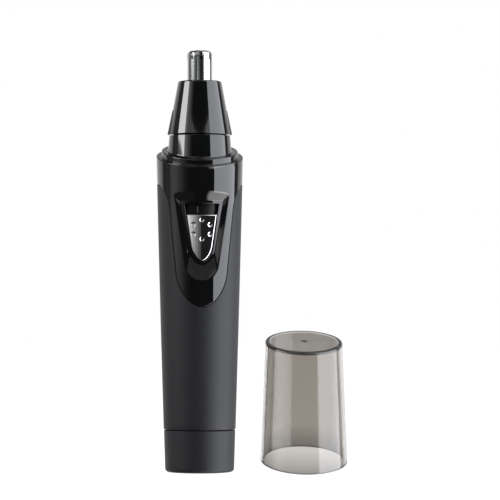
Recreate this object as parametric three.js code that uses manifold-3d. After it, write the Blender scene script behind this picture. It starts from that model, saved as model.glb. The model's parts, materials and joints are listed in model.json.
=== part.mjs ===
// A battery nose hair trimmer with its see-through cap standing beside it.
// Millimetres, +Z up. The origin is the middle of the trimmer's flat base, and its front faces -Y.

import * as THREE from 'three';
import { mergeVertices } from 'three/addons/utils/BufferGeometryUtils.js';
import Module from 'manifold-3d';

const wasm = await Module();
wasm.setup();

// ---------------------------------------------------------------- driving dimensions

const GAP = 0.3; // clearance between neighbouring pieces

// Body of the trimmer: a barrel that widens from the base to the collar.
const BASE_RADIUS = 12;
const RIM_RADIUS = 15.02;
const RIM_HEIGHT = 109; // height of the slanted collar rim at the axis
const BARREL_BULGE = 0.08; // how far the middle stands out from a straight taper
const HANDLE_WALL = 1.8;
const HOUSING_WALL = 2.2;
const COLLAR_SLANT = 0.28; // rise per millimetre from front to back

// Battery cap at the bottom.
const CAP_SEAM_HEIGHT = 14.6;
const CAP_STEP = 0.1;
const CAP_EDGE_RADIUS = 1.3;
const SPIGOT_RADIUS = 10.3;
const SEAL_GROOVE_RADIUS = 9.5;
const SPIGOT_BORE = 8.3;
const SPIGOT_TOP = 19.6;
const CAP_FLOOR = 1.8;

// Collar, neck and nose cone.
const PLATFORM_RADIUS = 13.23;
const PLATFORM_HEIGHT = 110.9; // slanted platform at the axis
const PLATFORM_THICKNESS = 2.3;
const NECK_RADIUS = 10.98;
const NECK_TOP_RADIUS = 10.6;
const NECK_TOP = 116.1;
const NECK_BORE = 9.4;
const SKIRT_HEIGHT = NECK_TOP + GAP;
const SKIRT_RADIUS = 10.94;
const CONE_TOP = 135;
const CONE_TOP_RADIUS = 7.5;
const GRIP_TOP = 125;
const GRIP_HALF_WIDTH = 3.4;
const GRIP_PROUD = 0.35;

// Cutters.
const TIP_HEIGHT = 145.6;
const TUBE_RADIUS = 4.3;
const TUBE_WALL = 0.35;
const TUBE_SHOULDER = 1.4;
const TUBE_SLOTS = 8;
const SLOT_WIDTH = 0.6;
const SLOT_TURN = 4; // degrees from the front to the first slot
const SLOT_DEPTH = 3.1;
const BLADE_RADIUS = TUBE_RADIUS - TUBE_WALL - GAP - 0.05;

// Front outlines: a round lower end that opens into a slowly widening wedge.
const TONGUE = { bottom: 56.9, halfWidth: 7.64, flare: 0.098, round: 11.5, top: 90.2 };
const SCOOP = { bottom: 65.8, halfWidth: 5.0, flare: 0.154, round: 5, top: 95.7 };
const BUTTON = { bottom: 72.75, halfWidth: 2.77, flare: 0.15, round: 5, top: 88.4 };
const WINDOW_TOP = 92.2;
const WINDOW_HALF_WIDTH = 5.8;
const WINDOW_MARGIN = 0.4;
const SEAM_BACK_HEIGHT = 99.5; // the seam runs level round the back
const SCOOP_DEPTH = 1.4;
const BUTTON_FOOT_RADIUS = 13.65; // the button's face leans back towards its top
const BUTTON_HEAD_RADIUS = 12.35;
const BUTTON_BACK = 11.75;
const BUTTON_TRAVEL = 3.5;

// Cell, motor and frame inside.
const CELL_RADIUS = 7.25;
const CELL_BOTTOM = 7;
const CELL_LENGTH = 50.5;
const CELL_NUB_LENGTH = 1.5;
const CELL_TOP = CELL_BOTTOM + CELL_LENGTH;
const FRAME_BOTTOM = 21;
const BULKHEAD = { bottom: 58.6, top: 64, radius: 11.3 };
const FRAME_TOP = 87;
const SCREW_X = 8;
const SCREW_Z = (BULKHEAD.bottom + BULKHEAD.top) / 2;
const MOTOR_RADIUS = 10.05;
const MOTOR_HALF_THICKNESS = 7.55;
const MOTOR_BOTTOM = 66.6;
const MOTOR_TOP = 91;
const SHAFT_RADIUS = 1;
const SHAFT_HOLE = SHAFT_RADIUS + GAP;
const SHAFT_TOP = 96;
const STEM_BOTTOM = 97.6;

// Protective cap standing to the right, a little forward.
const COVER = {
  x: 35.4, y: -8, mouthHeight: 4.3, height: 40.75, mouthRadius: 15.08, topRadius: 13.33, wall: 1.3,
};

const FINE = 40; // sides of the visible round pieces
const COARSE = 24; // sides of the hidden round pieces

// ---------------------------------------------------------------- solids

const OUTSIDE = 40; // larger than anything on the trimmer, for cutting blocks

function signedVolume(position, triangles) {
  const a = new THREE.Vector3();
  const b = new THREE.Vector3();
  const c = new THREE.Vector3();
  let volume = 0;
  for (let i = 0; i < triangles.length; i += 3) {
    a.fromBufferAttribute(position, triangles[i]);
    b.fromBufferAttribute(position, triangles[i + 1]);
    c.fromBufferAttribute(position, triangles[i + 2]);
    volume += a.dot(b.cross(c)) / 6;
  }
  return volume;
}

// Turns a closed geometry into a solid that can be joined and cut.
function solid(geometry) {
  geometry.deleteAttribute('normal');
  geometry.deleteAttribute('uv');
  const merged = mergeVertices(geometry, 1e-4);
  const index = merged.index.array;
  const triangles = [];
  for (let i = 0; i < index.length; i += 3) {
    const [a, b, c] = [index[i], index[i + 1], index[i + 2]];
    if (a !== b && b !== c && c !== a) triangles.push(a, b, c);
  }
  if (signedVolume(merged.attributes.position, triangles) < 0) triangles.reverse();
  const vertProperties = new Float32Array(merged.attributes.position.array);
  const triVerts = new Uint32Array(triangles);
  return new wasm.Manifold(new wasm.Mesh({ numProp: 3, vertProperties, triVerts }));
}

const cut = (body, ...tools) => tools.reduce((left, tool) => left.subtract(tool), body);
const join = (body, ...others) => others.reduce((sum, other) => sum.add(other), body);

// Solid of revolution about Z. Points are [radius, height]; the outline starts and ends on the axis.
function turned(points, sides = FINE) {
  const outline = points.map(([radius, height]) => new THREE.Vector2(radius, height));
  return solid(new THREE.LatheGeometry(outline, sides).rotateX(Math.PI / 2));
}

// Solid of revolution with a hole: the outline closes on itself.
const turnedRing = (points, sides = FINE) => turned([...points, points[0]], sides);

const disc = (radius, low, high, sides = FINE) =>
  turned([[0, low], [radius, low], [radius, high], [0, high]], sides);

const ring = (inner, outer, low, high, sides = FINE) =>
  turnedRing([[inner, low], [outer, low], [outer, high], [inner, high]], sides);

function block(lowX, highX, lowY, highY, lowZ, highZ) {
  const box = new THREE.BoxGeometry(highX - lowX, highY - lowY, highZ - lowZ);
  box.translate((lowX + highX) / 2, (lowY + highY) / 2, (lowZ + highZ) / 2);
  return solid(box);
}

// Front outline pushed along Y, from lowY to highY.
function frontPrism(shape, lowY, highY) {
  const geometry = new THREE.ExtrudeGeometry(shape, { depth: highY - lowY, bevelEnabled: false });
  return solid(geometry.rotateX(Math.PI / 2).translate(0, highY, 0));
}

// Everything above the slanted plane that crosses the axis at the given height.
function aboveSlant(height) {
  const box = new THREE.BoxGeometry(3 * OUTSIDE, 3 * OUTSIDE, 3 * OUTSIDE);
  box.translate(0, 0, 1.5 * OUTSIDE);
  box.rotateX(Math.atan(COLLAR_SLANT)).translate(0, 0, height);
  return solid(box);
}

// Part of a ring between two angles, counted from the front (-Y) towards +X.
function arcRing(inner, outer, low, high, fromDegrees, toDegrees) {
  const angle = (degrees) => THREE.MathUtils.degToRad(degrees) - Math.PI / 2;
  const shape = new THREE.Shape();
  shape.absarc(0, 0, outer, angle(fromDegrees), angle(toDegrees), false);
  shape.absarc(0, 0, inner, angle(toDegrees), angle(fromDegrees), true);
  const geometry = new THREE.ExtrudeGeometry(shape, {
    depth: high - low, bevelEnabled: false, curveSegments: 12,
  });
  return solid(geometry.translate(0, 0, low));
}

function torus(radius, thickness, height) {
  const geometry = new THREE.TorusGeometry(radius, thickness, 6, COARSE);
  return solid(geometry.translate(0, 0, height));
}

// Round wire along a curve.
function wireAlong(curve, thickness, steps) {
  const section = new THREE.Shape();
  section.absarc(0, 0, thickness, 0, 2 * Math.PI, false);
  return solid(new THREE.ExtrudeGeometry(section, {
    steps, extrudePath: curve, bevelEnabled: false, curveSegments: 3,
  }));
}

class Helix extends THREE.Curve {
  constructor(radius, low, high, turns) {
    super();
    Object.assign(this, { radius, low, high, turns });
  }

  getPoint(t, target = new THREE.Vector3()) {
    const angle = 2 * Math.PI * this.turns * t;
    const height = this.low + (this.high - this.low) * t;
    return target.set(this.radius * Math.cos(angle), this.radius * Math.sin(angle), height);
  }
}

// ---------------------------------------------------------------- shared outlines

function barrelRadius(height) {
  const t = height / RIM_HEIGHT;
  return BASE_RADIUS + (RIM_RADIUS - BASE_RADIUS) * t + BARREL_BULGE * 4 * t * (1 - t);
}

// [radius, height] points of the barrel's surface, set inwards by a depth.
function barrelLine(low, high, inset = 0, steps = 3) {
  const points = [];
  for (let i = 0; i <= steps; i += 1) {
    const height = low + ((high - low) * i) / steps;
    points.push([barrelRadius(height) - inset, height]);
  }
  return points;
}

function barrelCore(low, high, inset = 0) {
  return turned([[0, low], ...barrelLine(low, high, inset), [0, high]]);
}

// Right-hand side of a wedge outline with a round lower end, from bottom to top.
function wedgeSide(outline, grow = 0) {
  const { bottom, halfWidth, flare, round, top } = outline;
  const side = [];
  const arcSteps = 7;
  for (let i = 1; i <= arcSteps; i += 1) {
    const angle = (i / arcSteps) * (Math.PI / 2);
    const rise = round * (1 - Math.cos(angle));
    side.push([(halfWidth + flare * rise) * Math.sin(angle) + grow, bottom + rise - grow]);
  }
  side.push([halfWidth + flare * (top - bottom) + grow, top]);
  return side;
}

// Closed front shape, mirrored left and right of the middle.
function mirroredShape(lowest, side) {
  const shape = new THREE.Shape();
  shape.moveTo(0, lowest);
  side.forEach(([x, z]) => shape.lineTo(x, z));
  [...side].reverse().forEach(([x, z]) => shape.lineTo(-x, z));
  return shape;
}

// The gloss housing: a tongue down the front, flaring out to a level seam round the back.
function housingRegion(grow) {
  const side = wedgeSide(TONGUE, grow);
  const [startX, startZ] = side[side.length - 1];
  const seam = SEAM_BACK_HEIGHT - grow;
  const flare = new THREE.QuadraticBezierCurve(
    new THREE.Vector2(startX, startZ),
    new THREE.Vector2(startX + 0.75, seam - 2.8),
    new THREE.Vector2(RIM_RADIUS, seam),
  );
  flare.getPoints(6).slice(1).forEach((point) => side.push([point.x, point.y]));
  side.push([OUTSIDE, seam], [OUTSIDE, seam + OUTSIDE]);
  const front = frontPrism(mirroredShape(TONGUE.bottom - grow, side), -OUTSIDE, 0);
  const back = block(-OUTSIDE, OUTSIDE, -1, OUTSIDE, seam, seam + OUTSIDE);
  return join(front, back);
}

function wedgePrism(outline, lowY, highY, grow = 0) {
  return frontPrism(mirroredShape(outline.bottom - grow, wedgeSide(outline, grow)), lowY, highY);
}

// ---------------------------------------------------------------- outer casing

function handleShell() {
  const low = CAP_SEAM_HEIGHT + GAP / 2;
  const outside = barrelLine(low, SEAM_BACK_HEIGHT + 1);
  const inside = barrelLine(low, SEAM_BACK_HEIGHT + 1, HANDLE_WALL).reverse();
  return cut(turnedRing([...outside, ...inside]), housingRegion(GAP / 2));
}

function upperHousing() {
  const top = RIM_HEIGHT + 6;
  const collar = cut(barrelCore(TONGUE.bottom - 2, top), aboveSlant(RIM_HEIGHT));
  const platform = cut(
    disc(PLATFORM_RADIUS, SEAM_BACK_HEIGHT, top + 2),
    aboveSlant(PLATFORM_HEIGHT),
  );
  const neckLow = SEAM_BACK_HEIGHT + 2;
  const neck = turned([
    [0, neckLow], [NECK_RADIUS, neckLow], [NECK_RADIUS, PLATFORM_HEIGHT],
    [NECK_TOP_RADIUS, NECK_TOP], [0, NECK_TOP],
  ]);
  const hollowTop = SEAM_BACK_HEIGHT + 0.5;
  const mainHollow = barrelCore(TONGUE.bottom - 3, hollowTop, HOUSING_WALL);
  const collarHollow = cut(
    disc(NECK_RADIUS + 0.3, hollowTop - 1, top),
    aboveSlant(PLATFORM_HEIGHT - PLATFORM_THICKNESS),
  );
  const bore = disc(NECK_BORE, hollowTop, NECK_TOP + 1);
  const shell = cut(join(collar, platform, neck), mainHollow, collarHollow, bore);

  const scoop = cut(
    wedgePrism(SCOOP, -OUTSIDE, -MOTOR_HALF_THICKNESS),
    barrelCore(SCOOP.bottom - 5, SCOOP.top + 5, SCOOP_DEPTH),
  );
  const windowOutline = wedgeSide({ ...BUTTON, top: WINDOW_TOP }, WINDOW_MARGIN)
    .map(([x, z]) => [Math.min(x, WINDOW_HALF_WIDTH), z]);
  const window = frontPrism(
    mirroredShape(BUTTON.bottom - WINDOW_MARGIN, windowOutline),
    -OUTSIDE,
    -MOTOR_HALF_THICKNESS,
  );
  return cut(shell, scoop, window).intersect(housingRegion(-GAP / 2));
}

function headSocket() {
  return ring(NECK_BORE - GAP - 0.9, NECK_BORE - GAP, 104, NECK_TOP - GAP, FINE);
}

// ---------------------------------------------------------------- switch

const TRACK = { inner: 10.3, outer: 11.4, low: 69, high: 95, halfAngle: 38 };
const STEM_HALF_WIDTH = 1.4;
const STEM_LOW = 79;
const STEM_HIGH = 83;
const SLOT_MARGIN = 0.4;

function switchTrack() {
  const plate = arcRing(TRACK.inner, TRACK.outer, TRACK.low, TRACK.high, -TRACK.halfAngle, TRACK.halfAngle);
  const slotHalf = STEM_HALF_WIDTH + SLOT_MARGIN;
  const slotTop = STEM_HIGH + BUTTON_TRAVEL + SLOT_MARGIN;
  return cut(plate, block(-slotHalf, slotHalf, -OUTSIDE, 0, STEM_LOW - SLOT_MARGIN, slotTop));
}

// Radius of the button's face at a height.
function buttonRadius(height) {
  const t = (height - BUTTON.bottom) / (BUTTON.top - BUTTON.bottom);
  return BUTTON_FOOT_RADIUS + (BUTTON_HEAD_RADIUS - BUTTON_FOOT_RADIUS) * t;
}

function slideButton() {
  const [low, high] = [BUTTON.bottom - 1, BUTTON.top + 1];
  const face = turned([[0, low], [buttonRadius(low), low], [buttonRadius(high), high], [0, high]]);
  const back = disc(BUTTON_BACK, BUTTON.bottom - 3, BUTTON.top + 3);
  const body = wedgePrism(BUTTON, -OUTSIDE, -MOTOR_HALF_THICKNESS).intersect(face);
  const dimples = [];
  const ringRadius = 3.3;
  const ringHeight = 83.4;
  for (let i = 0; i < 6; i += 1) {
    const angle = (i * Math.PI) / 3;
    const x = ringRadius * Math.sin(angle);
    const z = ringHeight + ringRadius * Math.cos(angle);
    const depth = 0.25;
    const surface = Math.sqrt(buttonRadius(z) ** 2 - x * x);
    const pin = new THREE.CylinderGeometry(0.8, 0.8, 4, 10);
    dimples.push(solid(pin.translate(x, -(surface - depth) - 2, z)));
  }
  return cut(body, back, ...dimples);
}

function buttonCarrier() {
  const stem = block(-STEM_HALF_WIDTH, STEM_HALF_WIDTH, -11.35, -9.5, STEM_LOW, STEM_HIGH);
  return join(block(-2.4, 2.4, -9.75, -9.05, STEM_LOW - 2, STEM_HIGH + 2), stem);
}

// ---------------------------------------------------------------- frame, cell and contacts

// One half of the clamshell frame: side is -1 for the front half and +1 for the rear half.
function frameHalf(side) {
  const cellSleeve = ring(CELL_RADIUS + 0.45, CELL_RADIUS + 1.55, FRAME_BOTTOM, BULKHEAD.bottom + 1, COARSE);
  const bulkhead = disc(BULKHEAD.radius, BULKHEAD.bottom, BULKHEAD.top, COARSE);
  const motorSleeve = ring(MOTOR_RADIUS + GAP, BULKHEAD.radius, BULKHEAD.top - 1, FRAME_TOP, COARSE);
  const whole = join(cellSleeve, bulkhead, motorSleeve);
  const wireHole = disc(2.2, BULKHEAD.bottom - 1, BULKHEAD.top + 1, COARSE);
  const otherHalf = side < 0
    ? block(-OUTSIDE, OUTSIDE, -GAP / 2, OUTSIDE, 0, 120)
    : block(-OUTSIDE, OUTSIDE, -OUTSIDE, GAP / 2, 0, 120);
  const half = cut(whole, wireHole, otherHalf, ...screwHoles());
  if (side < 0) return cut(half, block(-9.2, 9.2, -OUTSIDE, 0, BULKHEAD.top, 120));
  return cut(half, block(-2.4, 2.4, 8.9, 9.8, BULKHEAD.bottom - 1, BULKHEAD.top + 1));
}

// Round bar along Y.
function barAlongY(radius, x, z, lowY, highY, sides = 16) {
  const bar = new THREE.CylinderGeometry(radius, radius, highY - lowY, sides);
  return solid(bar.translate(x, (lowY + highY) / 2, z));
}

function screwHoles() {
  return [-1, 1].flatMap((side) => [
    barAlongY(1.2, side * SCREW_X, SCREW_Z, -4.8, OUTSIDE),
    barAlongY(1.95, side * SCREW_X, SCREW_Z, 4.5, OUTSIDE),
  ]);
}

function frameScrew(side) {
  const shank = barAlongY(0.9, side * SCREW_X, SCREW_Z, -4.5, 5.2, 12);
  const head = barAlongY(1.6, side * SCREW_X, SCREW_Z, 4.8, 6);
  const x = side * SCREW_X;
  const slots = [
    block(x - 1, x + 1, 5.5, 8, SCREW_Z - 0.2, SCREW_Z + 0.2),
    block(x - 0.2, x + 0.2, 5.5, 8, SCREW_Z - 1, SCREW_Z + 1),
  ];
  return cut(join(shank, head), ...slots);
}

function batteryCell() {
  const canTop = CELL_TOP - CELL_NUB_LENGTH;
  return turned([
    [0, CELL_BOTTOM], [CELL_RADIUS - 0.6, CELL_BOTTOM], [CELL_RADIUS, CELL_BOTTOM + 0.6],
    [CELL_RADIUS, canTop - 0.8], [CELL_RADIUS - 0.8, canTop], [2.75, canTop],
    [2.75, CELL_TOP], [0, CELL_TOP],
  ], COARSE);
}

const positiveContact = () => disc(3.4, CELL_TOP + GAP, CELL_TOP + GAP + 0.4, COARSE);

const negativeStrip = () => block(-2, 2, 9.15, 9.45, SPIGOT_TOP + 0.5, BULKHEAD.top - 0.3);

const fixedLeaf = () => block(-1.5, 1.5, -8.2, -7.95, MOTOR_BOTTOM - 0.2, 87);

const movingLeaf = () => block(-1.5, 1.5, -8.75, -8.5, STEM_LOW - 1, STEM_HIGH + 1);

const wireThrough = (points) => {
  const route = points.map(([x, y, z]) => new THREE.Vector3(x, y, z));
  return wireAlong(new THREE.CatmullRomCurve3(route), 0.5, 14);
};

const redWire = () => wireThrough([
  [0, 0, 59], [0, 0, 62], [0, -1.2, 64.8], [0, -4.5, 65.2], [0, -7.3, 65.1], [0, -8.05, 65.9],
]);

const blackWire = () => wireThrough([
  [0, 9.3, 64.2], [0.3, 8.6, 65.1], [2, 6.4, 65.2], [3.4, 4.2, 65.2], [3.5, 3.2, 65.9],
]);

// ---------------------------------------------------------------- motor

// Round motor section with two flats, facing front and back.
function motorSection(radius, halfThickness, low, high) {
  const flats = block(-OUTSIDE, OUTSIDE, -halfThickness, halfThickness, low - 1, high + 1);
  return disc(radius, low, high, COARSE).intersect(flats);
}

function motorCan() {
  const low = MOTOR_BOTTOM + 2.1;
  const outside = motorSection(MOTOR_RADIUS, MOTOR_HALF_THICKNESS, low, MOTOR_TOP);
  const inside = motorSection(MOTOR_RADIUS - 0.7, MOTOR_HALF_THICKNESS - 0.7, low - 1, MOTOR_TOP - 1);
  const boss = disc(3, MOTOR_TOP - 0.5, MOTOR_TOP + 1.4, COARSE);
  const hole = disc(SHAFT_HOLE, MOTOR_TOP - 2, MOTOR_TOP + 2, 16);
  return cut(join(cut(outside, inside), boss), hole);
}

function motorEndCap() {
  const plate = motorSection(MOTOR_RADIUS, MOTOR_HALF_THICKNESS, MOTOR_BOTTOM, MOTOR_BOTTOM + 1.8);
  return cut(plate, disc(SHAFT_HOLE, 0, 100, 16));
}

const motorMagnet = (side) => arcRing(6.7, 8.9, 72, 87, side * 90 - 36, side * 90 + 36);

const motorBrush = (side) => block(side * 2.9 - 0.15, side * 2.9 + 0.15, -2.6, 2.6, 69.6, 71.2);

const motorDamper = () => arcRing(MOTOR_RADIUS + 0.35, 11.6, 87.5, 90.5, 50, 310);

const motorShaft = () => disc(SHAFT_RADIUS, MOTOR_BOTTOM + 0.4, SHAFT_TOP, 16);

function armature() {
  const slots = [];
  for (let i = 0; i < 3; i += 1) {
    const slot = new THREE.BoxGeometry(1.2, 4, 20);
    slot.translate(0, 5.8, 79.5).rotateZ((i * 2 * Math.PI) / 3);
    slots.push(solid(slot));
  }
  return cut(ring(SHAFT_HOLE, 6.2, 72.5, 86.5, COARSE), ...slots);
}

const commutator = () => ring(SHAFT_HOLE, 2.4, 69.3, 71.9, 16);

function driveCoupling() {
  const shaftHole = disc(SHAFT_HOLE, 90, SHAFT_TOP + GAP, 16);
  const socket = block(-1.85, 1.85, -1.85, 1.85, STEM_BOTTOM - GAP, 110);
  return cut(disc(3.4, MOTOR_TOP + 2.2, 102.2, COARSE), shaftHole, socket);
}

// ---------------------------------------------------------------- cutting head

const HEAD_SPIGOT = { low: 108, radius: 7.7, bore: 5.6, grooveLow: 110.2, grooveHigh: 112.4, groove: 6.7 };

function coneRadius(height) {
  const t = (height - SKIRT_HEIGHT) / (CONE_TOP - SKIRT_HEIGHT);
  return SKIRT_RADIUS + (CONE_TOP_RADIUS - SKIRT_RADIUS) * t;
}

function noseCone() {
  const spigot = HEAD_SPIGOT;
  const cone = turnedRing([
    [spigot.bore, spigot.low], [spigot.radius, spigot.low],
    [spigot.radius, spigot.grooveLow], [spigot.groove, spigot.grooveLow],
    [spigot.groove, spigot.grooveHigh], [spigot.radius, spigot.grooveHigh],
    [spigot.radius, SKIRT_HEIGHT], [SKIRT_RADIUS, SKIRT_HEIGHT],
    [CONE_TOP_RADIUS, CONE_TOP - 0.4], [CONE_TOP_RADIUS - 0.3, CONE_TOP],
    [TUBE_RADIUS + GAP, CONE_TOP], [TUBE_RADIUS + GAP, 133],
    [6.6, 133], [6.6, 127.5], [spigot.bore, 126.5],
  ]);
  const padSkin = turnedRing([
    [9, SKIRT_HEIGHT], [SKIRT_RADIUS + GRIP_PROUD, SKIRT_HEIGHT],
    [coneRadius(GRIP_TOP) + 0.1, GRIP_TOP], [8, GRIP_TOP],
  ]);
  const pads = padSkin.intersect(
    block(-OUTSIDE, OUTSIDE, -GRIP_HALF_WIDTH, GRIP_HALF_WIDTH, SKIRT_HEIGHT - 1, GRIP_TOP + 1),
  );
  return join(cone, pads);
}

function headSeal() {
  const { grooveLow, grooveHigh } = HEAD_SPIGOT;
  return torus(7.45, 0.45, (grooveLow + grooveHigh) / 2);
}

// Radial cuts over the rounded end of a tube.
function endSlots(count, width, fromRadius, bottom, turnDegrees = 0) {
  const slots = [];
  const turn = THREE.MathUtils.degToRad(turnDegrees);
  for (let i = 0; i < count; i += 1) {
    const slot = new THREE.BoxGeometry(width, OUTSIDE, OUTSIDE);
    slot.translate(0, -(fromRadius + OUTSIDE / 2), bottom + OUTSIDE / 2);
    slots.push(solid(slot.rotateZ(turn + (i * 2 * Math.PI) / count)));
  }
  return slots;
}

// Quarter round from the side of a tube onto its closed end.
function shoulder(radius, top, round, steps = 3) {
  const points = [];
  for (let i = 0; i <= steps; i += 1) {
    const angle = (i / steps) * (Math.PI / 2);
    points.push([radius - round + round * Math.cos(angle), top - round + round * Math.sin(angle)]);
  }
  return points;
}

const FLANGE = { radius: 6.2, low: 131.4, high: 132.6 };

function outerCutter() {
  const inner = TUBE_RADIUS - TUBE_WALL;
  const tube = turned([
    [0, TIP_HEIGHT - TUBE_WALL],
    ...shoulder(inner, TIP_HEIGHT - TUBE_WALL, TUBE_SHOULDER - TUBE_WALL).reverse(),
    [inner, FLANGE.low], [FLANGE.radius, FLANGE.low], [FLANGE.radius, FLANGE.high],
    [TUBE_RADIUS, FLANGE.high], ...shoulder(TUBE_RADIUS, TIP_HEIGHT, TUBE_SHOULDER),
    [0, TIP_HEIGHT],
  ], COARSE + 8);
  const slotBottom = TIP_HEIGHT - SLOT_DEPTH;
  return cut(tube, ...endSlots(TUBE_SLOTS, SLOT_WIDTH, 1.7, slotBottom, SLOT_TURN));
}

function innerCutter() {
  const top = TIP_HEIGHT - TUBE_WALL - GAP - 0.1;
  const inner = BLADE_RADIUS - 0.6;
  const cup = turned([
    [0, top - 0.6], ...shoulder(inner, top - 0.6, 0.6).reverse(),
    [inner, 130.8], [BLADE_RADIUS, 130.8], ...shoulder(BLADE_RADIUS, top, 1.1), [0, top],
  ], COARSE);
  return cut(cup, ...endSlots(4, 1.5, 1.1, TIP_HEIGHT - 5));
}

const cutterRetainer = () => ring(4.1, 6.3, 129.8, FLANGE.low - GAP, COARSE);

function cutterStem() {
  const shaft = turned([
    [0, 102.6], [1.9, 102.6], [1.9, 125.6], [3.5, 125.6], [3.5, 126.6],
    [2.6, 126.6], [2.6, 135], [0, 135],
  ], 20);
  return join(shaft, block(-1.5, 1.5, -1.5, 1.5, STEM_BOTTOM, 103));
}

const stemBearing = () => ring(2.25, HEAD_SPIGOT.bore - GAP, 109, 111.4, COARSE);

const cutterSpring = () => wireAlong(new Helix(2.75, 112.1, 124.9, 6), 0.25, 54);

// ---------------------------------------------------------------- battery cap

const SEAL_HEIGHT = 16.6;

function batteryCap() {
  const edge = shoulder(barrelRadius(0) - CAP_STEP, 0, CAP_EDGE_RADIUS)
    .map(([radius, height]) => [radius, -height])
    .reverse();
  const seam = CAP_SEAM_HEIGHT - GAP / 2;
  return turned([
    [0, 0], ...edge, ...barrelLine(CAP_EDGE_RADIUS + 1, seam, CAP_STEP, 2),
    [SPIGOT_RADIUS, seam], [SPIGOT_RADIUS, SEAL_HEIGHT - 0.7], [SEAL_GROOVE_RADIUS, SEAL_HEIGHT - 0.7],
    [SEAL_GROOVE_RADIUS, SEAL_HEIGHT + 0.7], [SPIGOT_RADIUS, SEAL_HEIGHT + 0.7], [SPIGOT_RADIUS, SPIGOT_TOP],
    [SPIGOT_BORE, SPIGOT_TOP], [SPIGOT_BORE, CAP_FLOOR], [0, CAP_FLOOR],
  ]);
}

const batteryCapSeal = () => torus(10.1, 0.3, SEAL_HEIGHT);

const springPlate = () => disc(7.9, CAP_FLOOR + GAP, CAP_FLOOR + GAP + 0.4, COARSE);

function batterySpring() {
  const low = CAP_FLOOR + GAP + 0.4 + GAP;
  const wire = 0.35;
  return wireAlong(new Helix(4.2, low + wire, CELL_BOTTOM - GAP - wire, 3), wire, 30);
}

// ---------------------------------------------------------------- protective cap

function coverCone(inset) {
  const slope = (COVER.topRadius - COVER.mouthRadius) / COVER.height;
  const low = COVER.mouthHeight - 8;
  const high = COVER.mouthHeight + COVER.height + 8;
  const radius = (height) => COVER.mouthRadius - inset + slope * (height - COVER.mouthHeight);
  return turned([[0, low], [radius(low), low], [radius(high), high], [0, high]]);
}

function protectiveCap() {
  const top = COVER.mouthHeight + COVER.height;
  const hollow = cut(coverCone(COVER.wall), aboveSlant(top - COVER.wall));
  const body = cut(coverCone(0), aboveSlant(top), hollow);
  const gateMark = new THREE.CylinderGeometry(1.1, 1.1, 0.8, 16).rotateX(Math.PI / 2);
  gateMark.rotateX(Math.atan(COLLAR_SLANT)).translate(0, 0, top);
  const cup = cut(body, solid(gateMark)).intersect(aboveSlant(COVER.mouthHeight));
  return cup.translate([COVER.x, COVER.y, 0]);
}

// ---------------------------------------------------------------- materials and assembly

const finish = (color, roughness, metalness = 0) => ({ color, roughness, metalness });

const FINISHES = {
  softTouch: finish(0x2b2c2e, 0.62),
  gloss: finish(0x121214, 0.12),
  chrome: finish(0xd8d8da, 0.1, 1),
  steel: finish(0xb9bbbe, 0.25, 1),
  spring: finish(0xa8aaac, 0.3, 1),
  brass: finish(0xb8934a, 0.35, 1),
  copper: finish(0xa3643a, 0.4, 1),
  zinc: finish(0x9a9da1, 0.4, 1),
  magnet: finish(0x3a3a3c, 0.7),
  cell: finish(0x3f6b8c, 0.4, 0.3),
  frame: finish(0xd6d4cc, 0.55),
  rubber: finish(0x1c1c1d, 0.8),
  acetal: finish(0xe6e4de, 0.4),
  red: finish(0xa82822, 0.5),
  black: finish(0x1a1a1a, 0.5),
};

const TRIMMER = [
  ['handle_shell', handleShell(), 'softTouch'],
  ['upper_housing', upperHousing(), 'gloss'],
  ['head_socket', headSocket(), 'acetal'],
  ['switch_track', switchTrack(), 'gloss'],
  ['slide_button', slideButton(), 'chrome'],
  ['button_carrier', buttonCarrier(), 'acetal'],
  ['moving_contact', movingLeaf(), 'brass'],
  ['fixed_contact', fixedLeaf(), 'brass'],
  ['frame_front', frameHalf(-1), 'frame'],
  ['frame_rear', frameHalf(1), 'frame'],
  ['frame_screw_left', frameScrew(-1), 'zinc'],
  ['frame_screw_right', frameScrew(1), 'zinc'],
  ['battery_cell', batteryCell(), 'cell'],
  ['battery_contact_positive', positiveContact(), 'brass'],
  ['battery_strip_negative', negativeStrip(), 'brass'],
  ['wire_red', redWire(), 'red'],
  ['wire_black', blackWire(), 'black'],
  ['motor_can', motorCan(), 'zinc'],
  ['motor_end_cap', motorEndCap(), 'frame'],
  ['motor_magnet_left', motorMagnet(-1), 'magnet'],
  ['motor_magnet_right', motorMagnet(1), 'magnet'],
  ['motor_brush_left', motorBrush(-1), 'copper'],
  ['motor_brush_right', motorBrush(1), 'copper'],
  ['motor_damper', motorDamper(), 'rubber'],
  ['motor_shaft', motorShaft(), 'steel'],
  ['armature', armature(), 'steel'],
  ['commutator', commutator(), 'copper'],
  ['drive_coupling', driveCoupling(), 'acetal'],
  ['nose_cone', noseCone(), 'gloss'],
  ['outer_cutter', outerCutter(), 'steel'],
  ['cutter_retainer', cutterRetainer(), 'acetal'],
  ['stem_bearing', stemBearing(), 'acetal'],
  ['head_seal', headSeal(), 'rubber'],
  ['inner_cutter', innerCutter(), 'steel'],
  ['cutter_stem', cutterStem(), 'acetal'],
  ['cutter_spring', cutterSpring(), 'spring'],
  ['battery_cap', batteryCap(), 'softTouch'],
  ['battery_cap_seal', batteryCapSeal(), 'rubber'],
  ['spring_plate', springPlate(), 'brass'],
  ['battery_spring', batterySpring(), 'spring'],
];

function namedMesh(name, body, material) {
  const { vertProperties, triVerts } = body.getMesh();
  const geometry = new THREE.BufferGeometry();
  geometry.setAttribute('position', new THREE.BufferAttribute(vertProperties, 3));
  geometry.setIndex(new THREE.BufferAttribute(triVerts, 1));
  geometry.computeVertexNormals();
  const mesh = new THREE.Mesh(geometry, material);
  mesh.name = name;
  return mesh;
}

const group = new THREE.Group();
group.name = 'nose_hair_trimmer';
TRIMMER.forEach(([name, body, look]) => {
  group.add(namedMesh(name, body, new THREE.MeshStandardMaterial(FINISHES[look])));
});

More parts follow.
